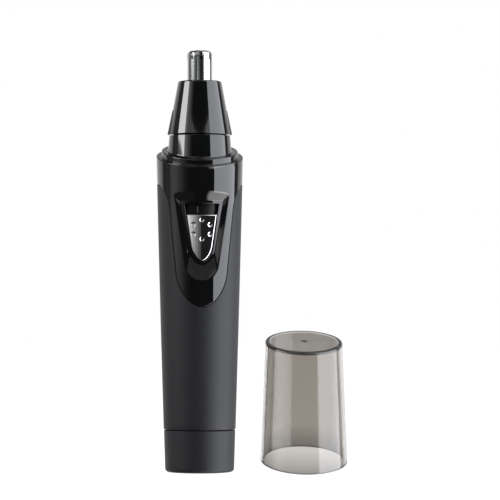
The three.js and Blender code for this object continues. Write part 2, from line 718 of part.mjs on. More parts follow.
const smoke = new THREE.MeshStandardMaterial({
  color: 0x8a8378, roughness: 0.08, metalness: 0, transparent: true, opacity: 0.45,
});
group.add(namedMesh('protective_cap', protectiveCap(), smoke));

export default group;
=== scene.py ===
# A nose hair trimmer with its smoke-clear cap beside it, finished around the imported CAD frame.
# Blender's unit is the metre. Shapes are worked out in millimetres and scaled as meshes are made;
# lights and the camera are placed in metres.

import json
import math

import bmesh
import bpy
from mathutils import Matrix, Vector


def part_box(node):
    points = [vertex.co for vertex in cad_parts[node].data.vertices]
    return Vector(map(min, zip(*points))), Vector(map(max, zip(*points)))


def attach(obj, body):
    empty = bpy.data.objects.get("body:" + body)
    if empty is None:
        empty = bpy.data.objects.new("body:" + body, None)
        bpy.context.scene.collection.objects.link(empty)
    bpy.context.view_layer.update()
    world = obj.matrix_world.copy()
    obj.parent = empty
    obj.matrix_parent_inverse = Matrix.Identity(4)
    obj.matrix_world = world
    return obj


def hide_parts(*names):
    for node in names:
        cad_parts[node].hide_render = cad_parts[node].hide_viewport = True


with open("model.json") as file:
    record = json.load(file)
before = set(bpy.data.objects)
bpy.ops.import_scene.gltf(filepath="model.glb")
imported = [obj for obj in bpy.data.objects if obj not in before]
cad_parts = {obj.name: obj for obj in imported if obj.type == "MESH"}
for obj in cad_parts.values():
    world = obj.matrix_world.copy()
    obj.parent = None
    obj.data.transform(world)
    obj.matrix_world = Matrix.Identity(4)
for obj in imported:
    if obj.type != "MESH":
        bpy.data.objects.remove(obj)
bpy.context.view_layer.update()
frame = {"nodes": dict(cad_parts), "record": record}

MM = 0.001

# ------------ sizes and places, millimetres


def box_mm(node):
    low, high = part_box(node)
    return low / MM, high / MM


HANDLE_LOW = box_mm("handle_shell")[0].z
TIP_HEIGHT = box_mm("outer_cutter")[1].z
CONE_LOW, CONE_TOP = box_mm("nose_cone")[0].z, box_mm("nose_cone")[1].z
NECK_TOP = box_mm("upper_housing")[1].z
TONGUE_LOW = box_mm("upper_housing")[0].z
COVER_LOW, COVER_HIGH = box_mm("protective_cap")
BUTTON_LOW, BUTTON_HIGH = box_mm("slide_button")[0].z, box_mm("slide_button")[1].z
SPIGOT_TOP = box_mm("battery_cap")[1].z

BASE_RADIUS = 12.0
RIM_RADIUS = 15.01
RIM_HEIGHT = 109.0
BARREL_BULGE = 0.08
HANDLE_WALL = 1.8
HOUSING_WALL = 2.2
SLANT = 0.28  # rise of the collar per millimetre from front to back
SEAM_GAP = 0.22  # between the handle and the housing
BATTERY_SEAM = 0.3  # between the handle and the battery cap
CAP_STEP = 0.1  # how far the battery cap stands back from the handle's line
SPIGOT_RADIUS = 10.3  # of the battery cap, inside the handle

PLATFORM_RADIUS = 13.23
PLATFORM_HEIGHT = 110.9
PLATFORM_THICKNESS = 2.3
NECK_RADIUS = 10.98
NECK_TOP_RADIUS = 10.6
NECK_BORE = 9.4
SKIRT_HEIGHT = NECK_TOP + 0.3
SKIRT_RADIUS = 10.94
CONE_TOP_RADIUS = 7.5
GRIP_TOP = 125.0

TUBE_RADIUS = 4.3
TUBE_WALL = 0.35
TUBE_SLOTS = 8
SLOT_HALF_WIDTH = 0.32
SLOT_DEPTH = 3.1
SLOT_TURN = math.radians(4)  # from the front to the first slot

# Outlines on the front: a round lower end that opens into a slowly widening wedge.
TONGUE = {"bottom": TONGUE_LOW - 0.15, "half": 7.64, "flare": 0.098, "round": 11.5, "top": 90.2}
SCOOP = {"bottom": 65.8, "half": 5.0, "flare": 0.154, "round": 5.0, "top": 95.7}
LEDGE = {"bottom": 71.2, "half": 3.6, "flare": 0.1725, "round": 5.0, "top": 93.3}
WINDOW = {"bottom": 72.3, "half": 3.2, "flare": 0.142, "round": 5.0, "top": 92.2}
BUTTON = {"bottom": BUTTON_LOW, "half": 2.77, "flare": 0.15, "round": 5.0, "top": BUTTON_HIGH}
SEAM_BACK_HEIGHT = 99.5
SEAM_BEND = (0.75, 2.8)  # pull of the curve from the tongue's side up to that height
SCOOP_DEPTH = 1.4
BUTTON_FOOT, BUTTON_HEAD = 13.65, 12.35  # how far out its face stands
BUTTON_CURVE = 22.0  # its face is flatter than the barrel
BUTTON_BACK = 11.85
TRACK_RADIUS = 11.4
TRACK_THICKNESS = 1.0
TRACK_SLOT = {"half": 1.8, "low": 78.6, "high": 86.9}

UNROLL = 14.3  # radius used to lay the barrel's surface out flat
PATCH_ANGLE = 75.0  # the front patch reaches this far round each side, in degrees

# ------------ mesh making

MERGE_DISTANCE = 0.0015  # points closer than this become one
SLIVER = 0.0005  # edges shorter than this are dissolved
SHARP_ANGLE = math.radians(38)
FLAT_GUARD = 0.3  # how far outside a fillet its guard points lie, as a share of its radius


class Shell:
    """Collects quads in millimetres, then becomes one Blender mesh."""

    def __init__(self):
        self.points = []
        self.faces = []

    def grid(self, rows, wrap=False, skip=None):
        first = len(self.points)
        width = len(rows[0])
        for row in rows:
            self.points.extend(row)
        last = width if wrap else width - 1
        for i in range(len(rows) - 1):
            for j in range(last):
                if skip and skip(i, j):
                    continue
                k = (j + 1) % width
                low, high = first + i * width, first + (i + 1) * width
                self.faces.append((low + j, low + k, high + k, high + j))
        return self

    def add(self, other):
        count = len(self.points)
        self.points += other.points
        self.faces += [tuple(count + i for i in face) for face in other.faces]
        return self

    def mirror(self):
        """Adds the left half of a shell whose right half is there."""
        left = Shell()
        left.points = [(-x, y, z) for x, y, z in self.points]
        left.faces = [face[::-1] for face in self.faces]
        return self.add(left)

    def moved(self, x, y):
        self.points = [(px + x, py + y, z) for px, py, z in self.points]
        return self

    def object(self, name):
        mesh = bpy.data.meshes.new(name)
        work = bmesh.new()
        made = [work.verts.new([value * MM for value in point]) for point in self.points]
        for face in self.faces:
            work.faces.new([made[i] for i in face])
        bmesh.ops.remove_doubles(work, verts=work.verts, dist=MERGE_DISTANCE * MM)
        bmesh.ops.dissolve_degenerate(work, edges=work.edges, dist=SLIVER * MM)
        bmesh.ops.recalc_face_normals(work, faces=work.faces)
        work.to_mesh(mesh)
        work.free()
        mesh.shade_smooth()
        mesh.set_sharp_from_angle(angle=SHARP_ANGLE)
        piece = bpy.data.objects.new(name, mesh)
        bpy.context.scene.collection.objects.link(piece)
        return piece


def lerp(a, b, t):
    return tuple(p + (q - p) * t for p, q in zip(a, b))


def spread(low, high, count):
    return [low + (high - low) * i / (count - 1) for i in range(count)]


def stretches(stops, steps):
    """A number of even steps from each stop to the next."""
    out = [stops[0]]
    for low, high, count in zip(stops, stops[1:], steps):
        out += spread(low, high, count + 1)[1:]
    return out


def circle(count):
    """Angles at even steps all the way round."""
    return [2 * math.pi * i / count for i in range(count)]


def quarter(steps, first=0):
    """(sine, cosine) pairs of a quarter turn."""
    angles = [i / steps * math.pi / 2 for i in range(first, steps + 1)]
    return [(math.sin(angle), math.cos(angle)) for angle in angles]


def polar(radius, angle, height):
    """Point round the trimmer's axis, at an angle from the front towards +X."""
    return radius * math.sin(angle), -radius * math.cos(angle), height


def fillet(corners, steps=5, closed=False):
    """Rounds a profile. Each corner is (radius, height) or (radius, height, fillet radius)."""
    out = []
    count = len(corners)
    for i, corner in enumerate(corners):
        here = Vector(corner[:2])
        size = corner[2] if len(corner) > 2 else 0
        if size == 0 or (not closed and i in (0, count - 1)):
            out.append(tuple(here))
            continue
        to_last = Vector(corners[i - 1][:2]) - here
        to_next = Vector(corners[(i + 1) % count][:2]) - here
        before, after = to_last.normalized(), to_next.normalized()
        half = before.angle(after) / 2
        reach = size / math.tan(half)
        centre = here + (before + after).normalized() * (size / math.sin(half))
        start = here + before * reach - centre
        end = here + after * reach - centre
        sweep = start.angle_signed(end)
        # A guard point just outside each end keeps the flats flat when shaded smooth.
        hold = FLAT_GUARD * size
        if to_last.length > reach + 4 * hold:
            out.append(tuple(here + before * (reach + hold)))
        for k in range(steps + 1):
            turn = -sweep * k / steps
            cos, sin = math.cos(turn), math.sin(turn)
            out.append((
                centre.x + start.x * cos - start.y * sin,
                centre.y + start.x * sin + start.y * cos,
            ))
        if to_next.length > reach + 4 * hold:
            out.append(tuple(here + after * (reach + hold)))
    return out


def turned(profile, sides=128, closed=False):
    """Surface of revolution of (radius, height) points."""
    points = profile + profile[:1] if closed else profile
    rows = [[polar(r, a, z) for a in circle(sides)] for r, z in points]
    return Shell().grid(rows, wrap=True)


def tube(route, thickness, sides=12):
    """Round wire through a list of points, closed at both ends."""
    rows = [[tuple(route[0])] * sides]
    for i, point in enumerate(route):
        ahead = Vector(route[min(i + 1, len(route) - 1)]) - Vector(route[max(i - 1, 0)])
        ahead.normalize()
        aside = ahead.cross(Vector((0, 0, 1)))
        aside.normalize()
        up = aside.cross(ahead)
        rows.append([
            tuple(Vector(point) + thickness * (math.cos(a) * aside + math.sin(a) * up))
            for a in circle(sides)
        ])
    rows.append([tuple(route[-1])] * sides)
    return Shell().grid(rows, wrap=True)


def coil(radius, low, high, turns, per_turn=32):
    """Middle line of a spring whose first and last turn lie flat, as ground ends do."""
    points = []
    count = int(turns * per_turn)
    for i in range(count + 1):
        t = i / count
        eased = t - math.sin(2 * math.pi * t) / (2 * math.pi)
        angle = 2 * math.pi * turns * t
        height = low + (high - low) * eased
        points.append((radius * math.cos(angle), radius * math.sin(angle), height))
    return points


# ------------ outlines on the barrel


def barrel_radius(height):
    t = height / RIM_HEIGHT
    return BASE_RADIUS + (RIM_RADIUS - BASE_RADIUS) * t + BARREL_BULGE * 4 * t * (1 - t)


def unroll(x, z, depth=0.0):
    """Laid-out place of a point that is x to the right of the middle at a depth in the barrel."""
    return UNROLL * math.asin(x / (barrel_radius(z) - depth)), z


def on_barrel(point, depth=0.0):
    u, z = point
    return polar(barrel_radius(z) - depth, u / UNROLL, z)


def wedge_half_width(outline, height):
    rise = height - outline["bottom"]
    part = min(rise / outline["round"], 1.0)
    return (outline["half"] + outline["flare"] * rise) * math.sqrt(1 - (1 - part) ** 2)


def wedge_side(outline, steps=48):
    """Right-hand side of an outline as (x, z) points, from its lowest point up."""
    heights = [outline["bottom"] + outline["round"] * (1 - cos) for sin, cos in quarter(steps)]
    heights += spread(heights[-1], outline["top"], 25)[1:]
    return [(wedge_half_width(outline, z), z) for z in heights]


def resample(points, fractions):
    """Points at the given fractions of a polyline's length."""
    lengths = [0.0]
    for a, b in zip(points, points[1:]):
        lengths.append(lengths[-1] + math.dist(a, b))
    out = []
    i = 0
    for fraction in fractions:
        target = fraction * lengths[-1]
        while i < len(points) - 2 and lengths[i + 1] < target:
            i += 1
        span = lengths[i + 1] - lengths[i]
        out.append(lerp(points[i], points[i + 1], (target - lengths[i]) / span if span else 0))
    return out


def seam_line():
    """The seam's right half on the laid-out barrel, from the foot of the tongue to the back."""
    side = wedge_side(TONGUE, 60)
    start = side[-1]
    bend = (start[0] + SEAM_BEND[0], SEAM_BACK_HEIGHT - SEAM_BEND[1])
    end = (RIM_RADIUS, SEAM_BACK_HEIGHT)
    for t in spread(0, 1, 61)[1:]:
        side.append(lerp(lerp(start, bend, t), lerp(bend, end, t), t))
    line = [unroll(x, z) for x, z in side if x < barrel_radius(z) - 0.02]
    middle = UNROLL * math.pi / 2
    line += [(u, SEAM_BACK_HEIGHT) for u in spread(middle + 1.2, 2 * middle, 40)]
    return resample(line, spread(0, 1, 401))


def offset(line, amount):
    """The line moved to its left, which is into the housing, with both ends kept on their height."""
    out = []
    for i, point in enumerate(line):
        a, b = line[max(i - 1, 0)], line[min(i + 1, len(line) - 1)]
        du, dz = b[0] - a[0], b[1] - a[1]
        if i in (0, len(line) - 1):
            dz = 0
        size = math.hypot(du, dz)
        out.append((point[0] - amount * dz / size, point[1] + amount * du / size))
    return out


SEAM = seam_line()
PATCH_U = UNROLL * math.radians(PATCH_ANGLE)
SEAM_SPLIT = next(i for i, point in enumerate(SEAM) if point[0] > PATCH_U) / (len(SEAM) - 1)
SEAM_FRONT_STEPS = 84
SEAM_BACK_STEPS = 44
SEAM_FRACTIONS = stretches([0, SEAM_SPLIT, 1], [SEAM_FRONT_STEPS, SEAM_BACK_STEPS])
EDGE_BAND = 0.6  # width of the strip that carries the rounded edge
EDGE_ROUND = 0.16


def seam_offset(amount):
    """Columns of the seam moved by an amount, all at the same fractions of its length."""
    return offset(resample(SEAM, SEAM_FRACTIONS), amount)


# ------------ upper housing

TOP_STEPS = 30
CORNER_STEPS = 10
COLLAR_STEPS = TOP_STEPS + CORNER_STEPS
SIDE_STEPS = 12
SOFT_TOP_FILLET = 0.75
SIDE_FILLET = 0.2
FOOT_FILLET = 0.35
LEDGE_FILLET = 0.28
LIP = 0.2
INNER_HEIGHT = 100.0  # where the wide hollow of the housing ends


def rim_height(u, inset=0.0):
    radius = barrel_radius(RIM_HEIGHT)
    return RIM_HEIGHT - SLANT * radius * math.cos(u / UNROLL) - inset


def loop_columns(outline, depth, corner, bow=0.0):
    """Right half of a closed outline: top middle, rounded top corner, then down to the foot."""
    top, low = outline["top"], outline["top"] - corner
    start = wedge_half_width(outline, top) - corner
    flat = [(start * sin, top + bow * (1 - sin ** 2)) for sin, cos in quarter(TOP_STEPS)[:-1]]
    bend = []
    for i in range(CORNER_STEPS):
        angle = (1 - i / CORNER_STEPS) * math.pi / 2
        height = low + corner * math.sin(angle)
        bend.append((wedge_half_width(outline, height) - corner * (1 - math.cos(angle)), height))
    side = [(x, z) for x, z in wedge_side(outline) if z < low - 0.01]
    side = [(wedge_half_width(outline, low), low)] + side[::-1]
    count = SIDE_STEPS + SEAM_FRONT_STEPS
    side = resample(side, [(i / count) ** 1.25 for i in range(count + 1)])
    return [unroll(x, z, depth) for x, z in flat + bend + side]


def housing_boundary(top_height, seam_columns):
    """Outer boundary of the front patch, column by column like loop_columns."""
    front = seam_columns[: SEAM_FRONT_STEPS + 1]
    edge_u, edge_z = front[-1]
    top = top_height(edge_u)
    along = [edge_u * i / COLLAR_STEPS for i in range(COLLAR_STEPS)]
    columns = [(u, top_height(u)) for u in along]
    columns += [(edge_u, top + (edge_z - top) * (i / SIDE_STEPS)) for i in range(SIDE_STEPS)]
    return columns + front[::-1]


def ease(low, high, value):
    t = max(0.0, min(1.0, (value - low) / (high - low)))
    return t * t * (3 - 2 * t)


def column_fillet(index):
    """How round the scoop's edge is: soft along the top, crisp at the sides, softer at the foot."""
    if index < COLLAR_STEPS:
        share = ease(TOP_STEPS - 4, COLLAR_STEPS, index)
        return SOFT_TOP_FILLET + (SIDE_FILLET - SOFT_TOP_FILLET) * share
    last = COLLAR_STEPS + SIDE_STEPS + SEAM_FRONT_STEPS
    return SIDE_FILLET + (FOOT_FILLET - SIDE_FILLET) * ease(last - 40, last, index)


def scoop_column(outer, scoop, ledge, window, window_foot, round_edge):
    """(point, depth) pairs of one column, from the patch's boundary in to the window's wall."""
    slope = math.dist(scoop, ledge)
    shelf = math.dist(ledge, window)
    reach = math.dist(scoop, outer)
    steep = SCOOP_DEPTH / slope

    def place(x):
        if x <= 0:
            return lerp(scoop, outer, -x / reach)
        if x <= slope:
            return lerp(scoop, ledge, x / slope)
        return lerp(ledge, window, (x - slope) / shelf)

    def depth(x):
        if x <= -round_edge:
            return 0.0
        if x < round_edge:
            return steep * (x + round_edge) ** 2 / (4 * round_edge)
        if x < slope - LEDGE_FILLET:
            return steep * x
        if x < slope + LEDGE_FILLET:
            return SCOOP_DEPTH - steep * (slope + LEDGE_FILLET - x) ** 2 / (4 * LEDGE_FILLET)
        return SCOOP_DEPTH

    stops = [-(round_edge + g * (reach - round_edge))
             for g in (1, 0.88, 0.76, 0.64, 0.52, 0.41, 0.31, 0.22, 0.14, 0.07, 0.03)]
    stops += [round_edge * t for t in (-1, -0.6, -0.3, 0, 0.3, 0.6, 1)]
    flat = slope - LEDGE_FILLET - round_edge
    stops += [round_edge + flat * t for t in (0.2, 0.4, 0.6, 0.8)]
    stops += [slope + LEDGE_FILLET * t for t in (-1, -0.5, 0, 0.5, 1)]
    lip_start = slope + shelf - LIP
    stops += [(slope + LEDGE_FILLET + lip_start) / 2, lip_start]
    pairs = [(place(x), depth(x)) for x in stops]
    for sin, cos in quarter(4, 1):
        pairs.append((place(lip_start + LIP * sin), SCOOP_DEPTH + LIP * (1 - cos)))
    pairs.append((window_foot, HOUSING_WALL))
    return pairs


def neck_radius(height):
    t = (height - PLATFORM_HEIGHT) / (NECK_TOP - PLATFORM_HEIGHT)
    return NECK_RADIUS + (NECK_TOP_RADIUS - NECK_RADIUS) * t


def collar_profile():
    """Collar, platform and neck from the rim up to the bore.

    Each row is (radius, height, slanted share, whether it follows the neck's lean).
    """
    rim = barrel_radius(RIM_HEIGHT)
    outline = fillet([
        (rim, RIM_HEIGHT - EDGE_BAND), (rim, RIM_HEIGHT, 0.22),
        (PLATFORM_RADIUS, RIM_HEIGHT, 0.15), (PLATFORM_RADIUS, PLATFORM_HEIGHT, 0.25),
        (NECK_RADIUS, PLATFORM_HEIGHT, 0.3), (NECK_RADIUS, PLATFORM_HEIGHT + 0.45),
    ])
    rows = [(r, z, 1.0, r < NECK_RADIUS + 0.4) for r, z in outline]
    rows += [(NECK_RADIUS, 112.9, 0.5, True), (NECK_RADIUS, 114.6, 0.0, True)]
    top = fillet([
        (neck_radius(115), 115), (NECK_TOP_RADIUS, NECK_TOP, 0.2), (NECK_BORE, NECK_TOP, 0.15),
        (NECK_BORE, NECK_TOP - 1),
    ])
    rows += [(r, z, 0.0, False) for r, z in top]
    under = PLATFORM_HEIGHT - PLATFORM_THICKNESS
    rows += [(NECK_BORE, under, 1.0, False), (NECK_RADIUS + 0.3, under, 1.0, False)]
    rows += [(NECK_RADIUS + 0.3, INNER_HEIGHT + 0.3, 0.0, False)]
    rows += [(barrel_radius(INNER_HEIGHT) - HOUSING_WALL, INNER_HEIGHT, 0.0, False)]
    return rows


def slanted(radius, height, share, leans, u):
    angle = u / UNROLL
    height -= share * SLANT * radius * math.cos(angle)
    if leans:
        radius += neck_radius(height) - NECK_RADIUS
    return polar(radius, angle, height)


def upper_housing():
    shell = Shell()
    inner_edge = seam_offset(EDGE_BAND)
    back = inner_edge[SEAM_FRONT_STEPS:]
    outer_top = lambda u: rim_height(u, EDGE_BAND)
    boundary = housing_boundary(outer_top, inner_edge)
    scoop = loop_columns(SCOOP, 0, 1.0, bow=0.5)
    ledge = loop_columns(LEDGE, SCOOP_DEPTH, 0.4)
    window = loop_columns(WINDOW, SCOOP_DEPTH, 0.3)
    window_foot = loop_columns(WINDOW, HOUSING_WALL, 0.3)

    columns = [
        scoop_column(*loops, column_fillet(i))
        for i, loops in enumerate(zip(boundary, scoop, ledge, window, window_foot))
    ]
    rings = zip(*columns)
    shell.grid([[on_barrel(point, depth) for point, depth in ring] for ring in rings])

    inside_top = lambda u: INNER_HEIGHT
    inside = housing_boundary(inside_top, inner_edge)
    shell.grid([
        [on_barrel(lerp(a, b, t), HOUSING_WALL) for a, b in zip(window_foot, inside)]
        for t in spread(0, 1, 6)
    ])
    for top, depth in ((outer_top, 0.0), (inside_top, HOUSING_WALL)):
        shell.grid([
            [on_barrel((u, top(u) + (z - top(u)) * i / SIDE_STEPS), depth) for u, z in back]
            for i in range(SIDE_STEPS + 1)
        ])

    collar_u = [point[0] for point in boundary[:COLLAR_STEPS] + back]
    profile = collar_profile()
    rows = [[on_barrel((u, outer_top(u))) for u in collar_u]]
    rows += [[slanted(*place, u) for u in collar_u] for place in profile[1:]]
    rows[-1] = [on_barrel((u, INNER_HEIGHT), HOUSING_WALL) for u in collar_u]
    shell.grid(rows)

    shell.grid(seam_edge(inner_edge, 1, HOUSING_WALL))
    return shell.mirror()


def seam_edge(far_edge, side, wall):
    """Rounded edge along the seam, from the outer face round to the inner face."""
    gap = SEAM_GAP / 2
    rows = [[on_barrel(point) for point in far_edge]]
    for extra in (0.35, 0.22):
        rows.append([on_barrel(point) for point in seam_offset(side * (gap + extra))])
    for sin, cos in quarter(4):
        line = seam_offset(side * (gap + EDGE_ROUND * (1 - sin)))
        rows.append([on_barrel(point, EDGE_ROUND * (1 - cos)) for point in line])
    rows.append([on_barrel(point, wall) for point in seam_offset(side * gap)])
    rows.append([on_barrel(point, wall) for point in far_edge])
    return rows


# ------------ handle and battery cap

FOOT_ROUND = 0.25
SEAL_HEIGHT = SPIGOT_TOP - 3
GROOVE_RADIUS = 9.5


def handle_shell():
    edge = seam_offset(-EDGE_BAND)
    low = HANDLE_LOW
    foot_u = [UNROLL * math.pi * i / (len(edge) - 1) for i in range(len(edge))]
    rows = []
    for t in spread(0, 1, 30):
        eased = t ** 1.4
        rows.append([
            on_barrel(lerp(point, (u, low + FOOT_ROUND), eased)) for point, u in zip(edge, foot_u)
        ])
    for sin, cos in quarter(4, 1):
        height = low + FOOT_ROUND * (1 - sin)
        rows.append([on_barrel((u, height), FOOT_ROUND * (1 - cos)) for u in foot_u])
    for t in spread(0, 1, 6):
        rows.append([
            on_barrel(lerp((u, low), point, t), HANDLE_WALL) for point, u in zip(edge, foot_u)
        ])
    return Shell().grid(rows).grid(seam_edge(edge, -1, HANDLE_WALL)).mirror()


def battery_cap():
    seam = HANDLE_LOW - BATTERY_SEAM
    side = [(barrel_radius(z) - CAP_STEP, z) for z in spread(2.6, seam - 0.8, 6)]
    groove_low, groove_high = SEAL_HEIGHT - 0.7, SEAL_HEIGHT + 0.7
    profile = [(0, 0), (5, 0), (10.05, 0)]
    profile += fillet([(0, 0), (barrel_radius(0) - CAP_STEP, 0, 1.3), side[0]], 8)[1:-1]
    profile += side
    profile += fillet([
        side[-1], (barrel_radius(seam) - CAP_STEP, seam, 0.2), (SPIGOT_RADIUS, seam, 0.15),
        (SPIGOT_RADIUS, groove_low, 0.1), (GROOVE_RADIUS, groove_low),
        (GROOVE_RADIUS, groove_high), (SPIGOT_RADIUS, groove_high, 0.1),
        (SPIGOT_RADIUS, SPIGOT_TOP, 0.3), (8.3, SPIGOT_TOP, 0.3), (8.3, 1.8, 0.4), (0, 1.8),
    ])[1:]
    return turned(profile, 144)


# ------------ slide button and its track

DIMPLE_RING = 3.3
DIMPLE_HEIGHT = 83.4
DIMPLE_RADIUS = 0.82
DIMPLE_DEPTH = 0.12
BUTTON_BEVEL = 0.22
BUTTON_SIDE_DROP = 0.5
BUTTON_ACROSS = 92  # steps of its mesh
BUTTON_ALONG = 140


def dimple_depth(x, z):
    """A flat-bottomed dent with soft walls at each corner of a hexagon."""
    for i in range(6):
        angle = i * math.pi / 3
        away = math.hypot(x - DIMPLE_RING * math.sin(angle),
                          z - DIMPLE_HEIGHT - DIMPLE_RING * math.cos(angle))
        if away < DIMPLE_RADIUS:
            return DIMPLE_DEPTH * (1 - ease(0.62, 1.0, away / DIMPLE_RADIUS))
    return 0.0


def button_point(x, z, depth):
    t = (z - BUTTON_LOW) / (BUTTON_HIGH - BUTTON_LOW)
    out = BUTTON_FOOT + (BUTTON_HEAD - BUTTON_FOOT) * t
    radius = out + BUTTON_CURVE - BUTTON_FOOT - depth
    return x, BUTTON_CURVE - BUTTON_FOOT - math.sqrt(radius ** 2 - x ** 2), z


def button_back(x, z):
    return x, -math.sqrt(BUTTON_BACK ** 2 - x ** 2), z


def shrunk(outline, amount):
    return dict(outline, bottom=outline["bottom"] + amount, top=outline["top"] - amount,
                half=outline["half"] - amount * 0.95)


def slide_button():
    """Dimpled face, rounded edge, straight sides and a back that follows the barrel."""
    fractions = [(i / BUTTON_ALONG) ** 1.3 for i in range(BUTTON_ALONG + 1)]

    def side(outline):
        heights = [outline["bottom"] + (outline["top"] - outline["bottom"]) * t for t in fractions]
        return [(wedge_half_width(outline, z), z) for z in heights]

    def sheet(outline, place):
        return [[place(x, z) for x in spread(-half, half, BUTTON_ACROSS + 1)]
                for half, z in side(outline)]

    def rim(outline, depth):
        right = side(outline)
        corner = right[-1][0]
        top = [(x, outline["top"]) for x in spread(corner, -corner, BUTTON_ACROSS + 1)][1:-1]
        left = [(-x, z) for x, z in reversed(right)]
        return [button_point(x, z, depth) for x, z in right + top + left[:-1]]

    def face(x, z):
        return button_point(x, z, dimple_depth(x, z))

    rims = [rim(shrunk(BUTTON, BUTTON_BEVEL * (1 - sin)), BUTTON_BEVEL * (1 - cos))
            for sin, cos in quarter(5)]
    rims.append(rim(BUTTON, BUTTON_SIDE_DROP))
    shell = Shell().grid(sheet(shrunk(BUTTON, BUTTON_BEVEL), face)).grid(rims, wrap=True)
    shell.grid([rims[-1], [button_back(x, z) for x, y, z in rims[-1]]], wrap=True)
    return shell.grid(sheet(BUTTON, button_back))


def switch_track():
    """Curved plate under the window, with the slot that the button's stem runs in."""
    low, high = box_mm("switch_track")
    half = math.asin(high.x / TRACK_RADIUS)
    slot_half = math.asin(TRACK_SLOT["half"] / TRACK_RADIUS)
    beside, across, rows = 20, 8, 7  # mesh steps
    angles = stretches([-half, -slot_half, slot_half, half], [beside, across, beside])
    heights = stretches([low.z, TRACK_SLOT["low"], TRACK_SLOT["high"], high.z], [rows] * 3)
    in_slot = lambda i, j: rows <= i < 2 * rows and beside <= j < beside + across
    faces = (TRACK_RADIUS, TRACK_RADIUS - TRACK_THICKNESS)
    shell = Shell()
    for radius in faces:
        shell.grid([[polar(radius, a, z) for a in angles] for z in heights], skip=in_slot)

    def wall(a_low, a_high, z_low, z_high):
        path = [(a, z_low) for a in angles if a_low <= a <= a_high]
        path += [(a_high, z) for z in heights if z_low < z < z_high]
        path += [(a, z_high) for a in reversed(angles) if a_low <= a <= a_high]
        path += [(a_low, z) for z in reversed(heights) if z_low < z < z_high]
        shell.grid([[polar(radius, a, z) for a, z in path] for radius in faces], wrap=True)

    wall(angles[0], angles[-1], heights[0], heights[-1])
    wall(angles[beside], angles[beside + across], heights[rows], heights[2 * rows])
    return shell


def switch_mark():
    """A plain upright stroke printed on the track plate, left of the middle."""
    left, right, low, high = -1.54, -1.26, 89.1, 91.3
    outline = [(left, low), (right, low), (right, high), (left, high)]
    rings = [
        [(x, -math.sqrt(radius ** 2 - x ** 2), z) for x, z in outline]
        for radius in (TRACK_RADIUS - 0.05, TRACK_RADIUS + 0.05)
    ]
    shell = Shell().grid(rings, wrap=True)
    for ring in rings:
        shell.grid([[ring[0], ring[1]], [ring[3], ring[2]]])
    return shell


# ------------ cutting head

HEAD_SPIGOT = 7.7  # radius of the part of the cone that sits in the neck
TUBE_LOW = 132.6
TUBE_SHOULDER = 1.4
SLOT_INNER_RADIUS = 1.7  # the slots end this far from the axis
FLANGE_RADIUS = 6.2
FLANGE_LOW = 131.4
LAND_STEPS = 10  # mesh steps between two slots
PAD_HALF_ANGLE = math.radians(17)
PAD_FOOT, PAD_HEAD = 0.33, 0.13  # how proud a grip pad stands
PAD_INNER = 0.97


def cone_radius(height):
    t = (height - SKIRT_HEIGHT) / (CONE_TOP - SKIRT_HEIGHT)
    return SKIRT_RADIUS + (CONE_TOP_RADIUS - SKIRT_RADIUS) * t


def nose_cone():
    low, spigot, bore = CONE_LOW, HEAD_SPIGOT, TUBE_RADIUS + 0.25
    groove = spigot - 1
    return turned(fillet([
        (5.6, low, 0.3), (spigot, low, 0.3), (spigot, 110.2), (groove, 110.2), (groove, 112.4),
        (spigot, 112.4), (spigot, SKIRT_HEIGHT, 0.15), (SKIRT_RADIUS, SKIRT_HEIGHT, 0.18),
        (CONE_TOP_RADIUS, CONE_TOP, 0.55), (bore, CONE_TOP, 0.2), (bore, 133), (6.6, 133),
        (6.6, 127.5), (5.6, 126.5),
    ], 6, closed=True), 160, closed=True)


def grip_pad(side):
    """Slim raised pad on one side of the skirt, thickest at its foot."""
    low, high = SKIRT_HEIGHT + 0.02, GRIP_TOP
    rows = []
    for t in (i / 60 for i in range(61)):
        z = low + (high - low) * t
        narrow = PAD_HALF_ANGLE * (1 - 0.35 * t ** 2)
        row = []
        for s in (2 * j / 28 - 1 for j in range(29)):
            edge = min(1.0, (1 - abs(s)) / 0.16, t / 0.03, (1 - t) / 0.05)
            proud = (PAD_FOOT - (PAD_FOOT - PAD_HEAD) * t) * math.sin(edge * math.pi / 2) - 0.02
            row.append(polar(cone_radius(z) + proud, side * math.pi / 2 + s * narrow, z))
        rows.append(row)
    sunk = lambda line: [(x * PAD_INNER, y * PAD_INNER, z) for x, y, z in line]
    border = [row[0] for row in rows] + rows[-1][1:] + [row[-1] for row in reversed(rows[:-1])]
    border += rows[0][-2:0:-1]
    pad = Shell().grid(rows).grid([sunk(row) for row in rows])
    return pad.grid([border, sunk(border)], wrap=True)


def cutter_rows():
    """Matching outer and inner (radius, height) rows of the slotted tube, from low to tip."""
    slot_low = TIP_HEIGHT - SLOT_DEPTH
    straight = [TUBE_LOW, 136, 140, slot_low, slot_low + 0.1, 143.4]
    rows = [((TUBE_RADIUS, z), (TUBE_RADIUS - TUBE_WALL, z)) for z in straight]
    centre, height = TUBE_RADIUS - TUBE_SHOULDER, TIP_HEIGHT - TUBE_SHOULDER
    for sin, cos in quarter(8):
        rows.append([(centre + round_ * cos, height + round_ * sin)
                     for round_ in (TUBE_SHOULDER, TUBE_SHOULDER - TUBE_WALL)])
    for radius in (2.3, SLOT_INNER_RADIUS, 0.9, 0.0):
        rows.append(((radius, TIP_HEIGHT), (radius, TIP_HEIGHT - TUBE_WALL)))
    return rows


def cutter_angles(radius):
    """Two columns in each slot, then the land up to the next one; slots keep their width."""
    half = math.asin(SLOT_HALF_WIDTH / radius) if radius > 1 else math.pi / TUBE_SLOTS * 0.8
    gap = 2 * math.pi / TUBE_SLOTS
    out = []
    for k in range(TUBE_SLOTS):
        middle = SLOT_TURN + 2 * math.pi * k / TUBE_SLOTS
        out += [middle - half, middle]
        out += spread(middle + half, middle + gap - half, LAND_STEPS + 1)[:-1]
    return out


